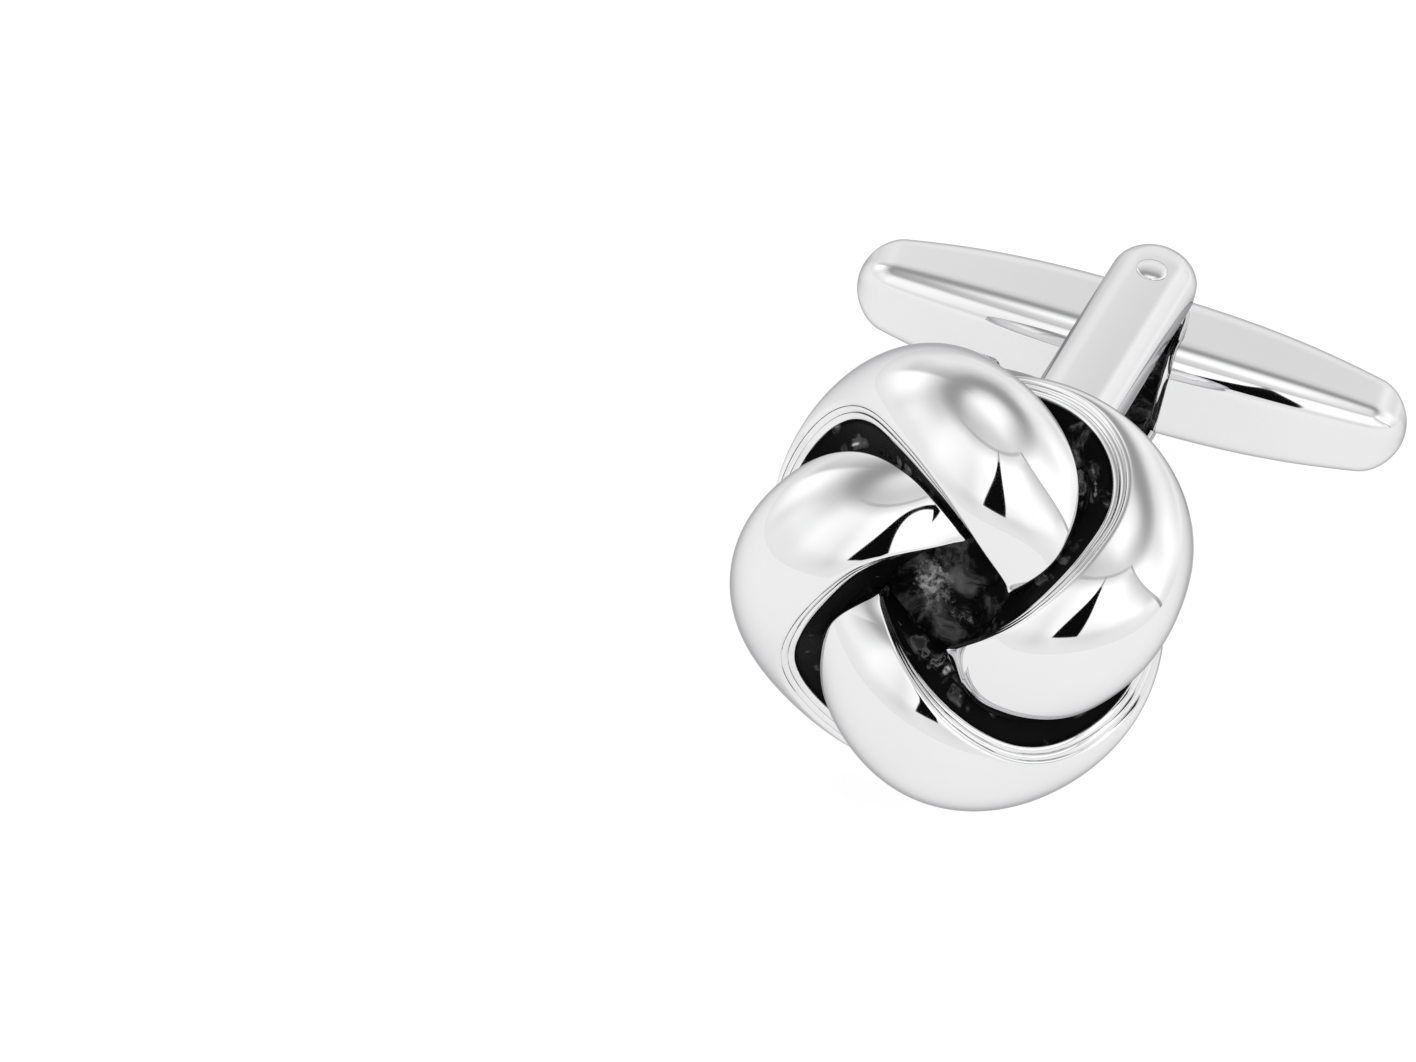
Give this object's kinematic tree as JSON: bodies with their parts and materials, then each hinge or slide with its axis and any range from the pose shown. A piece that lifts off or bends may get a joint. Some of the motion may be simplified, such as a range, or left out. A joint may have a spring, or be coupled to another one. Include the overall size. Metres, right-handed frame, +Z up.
{
  "type": "knot cufflink with a swivelling whale-back closing",
  "caption": "Polished silver-coloured knot cufflink: domed bands wound round a dark recess, on a forked post with a swivelling tapered toggle.",
  "frame": {"origin": "on the table, under the middle of the cufflink as it lies on its yoke and its knot", "axes": "+Z up along the hinge pin, the post runs along Y with the knot towards -Y, the toggle lies 7 degrees off X"},
  "size_m": [0.02, 0.0268, 0.0149],
  "materials": {
    "knot_plating": "mirror-polished rhodium-like plating, blackened in the recess and between the bands",
    "toggle_plating": "mirror-polished rhodium-like plating",
    "pin_metal": "polished, peened over at one end"
  },
  "bodies": {
    "post_body": {"knot_with_yoke": "knot_plating", "hinge_pin": "pin_metal"},
    "toggle_body": {"toggle": "toggle_plating"}
  },
  "joints": [
    {"name": "toggle_swivel", "type": "hinge", "parent": "post_body", "child": "toggle_body", "pos_m": [0, 0.01088, 0.0039], "axis": [0, 0, 1], "range_deg": [-97, 83]}
  ]
}
